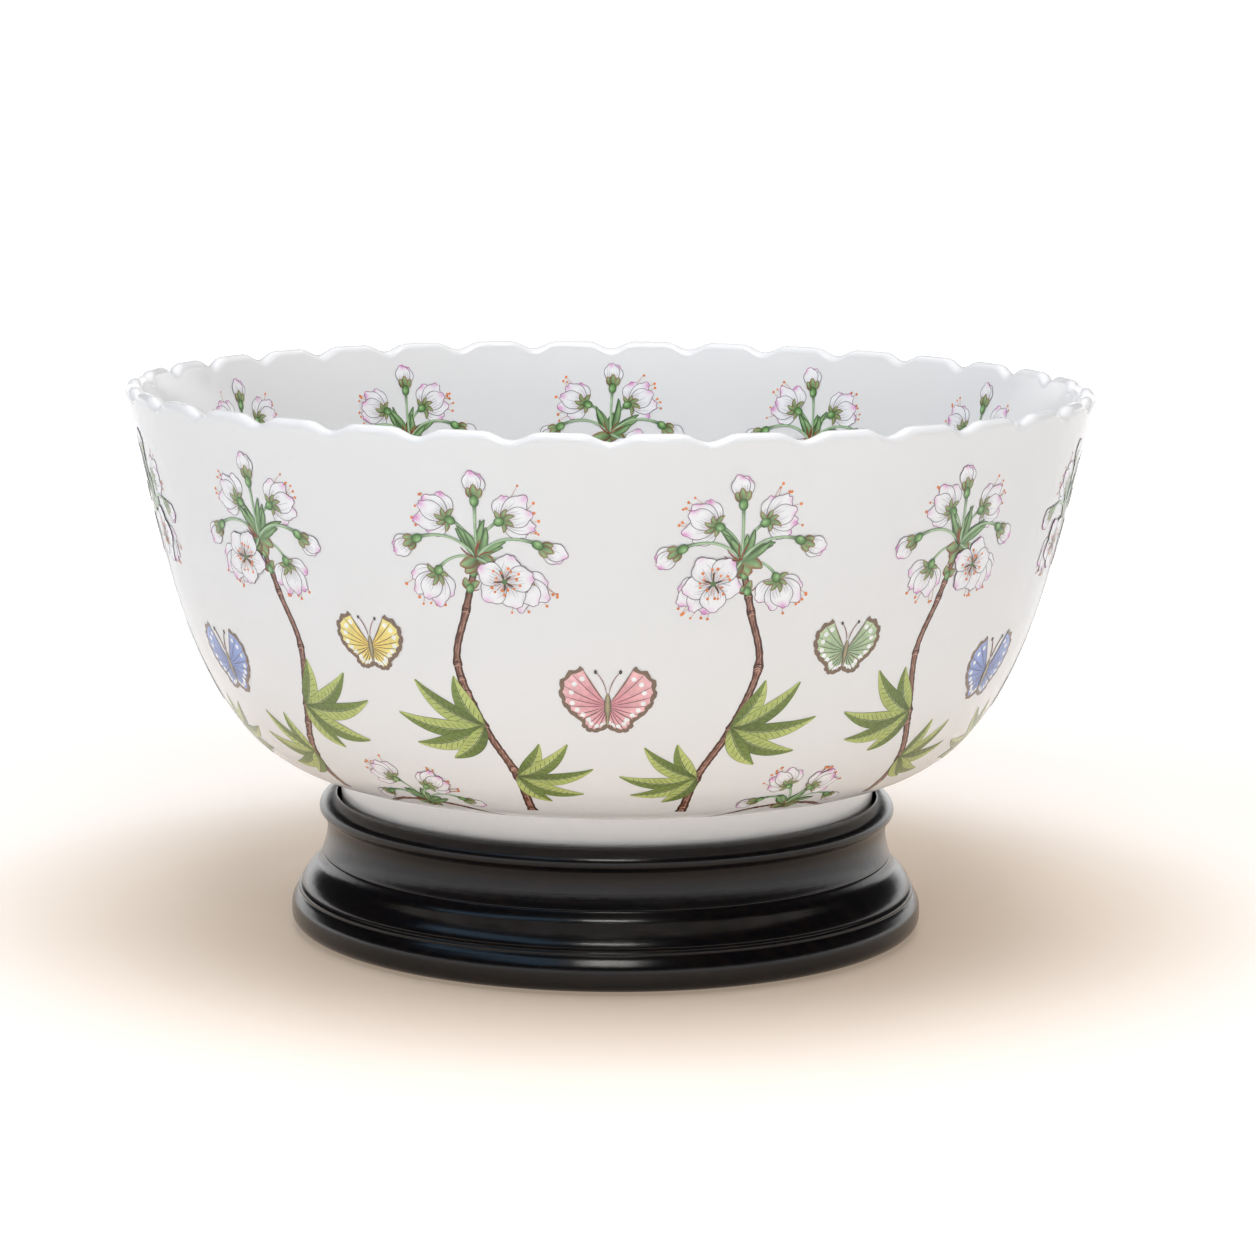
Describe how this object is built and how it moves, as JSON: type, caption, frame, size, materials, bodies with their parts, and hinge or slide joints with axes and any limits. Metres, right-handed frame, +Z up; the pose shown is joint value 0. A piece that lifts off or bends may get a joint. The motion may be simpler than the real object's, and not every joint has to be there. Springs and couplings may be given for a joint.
{
  "type": "serving bowl",
  "caption": "Deep round porcelain serving bowl with a scalloped rim and blossom decoration, standing in a turned, black lacquered wooden ring stand that it lifts out of.",
  "frame": {"origin": "centre of the underside, on the surface that the stand's felt pads rest on, on the bowl's axis", "axes": "+Z up along the axis of the bowl and its stand, -Y towards the viewer, +X to the viewer's right"},
  "size_m": [0.3564, 0.3564, 0.204],
  "materials": {
    "glaze": "clear gloss glaze over white porcelain, overglaze blossom decoration",
    "lacquer": "semi-gloss black lacquer on turned wood",
    "seat_felt": "dark green wool felt",
    "pad_felt": "black felt"
  },
  "bodies": {
    "stand": {"stand_base_ring": "lacquer", "stand_collar_ring": "lacquer", "seat_felt_ring": "seat_felt", "felt_pad_1": "pad_felt", "felt_pad_2": "pad_felt", "felt_pad_3": "pad_felt", "felt_pad_4": "pad_felt"},
    "bowl": {"porcelain_bowl": "glaze"}
  },
  "joints": [
    {"name": "bowl_lift", "type": "slide", "parent": "stand", "child": "bowl", "axis": [0, 0, 1], "range_m": [0, 0.12]}
  ]
}
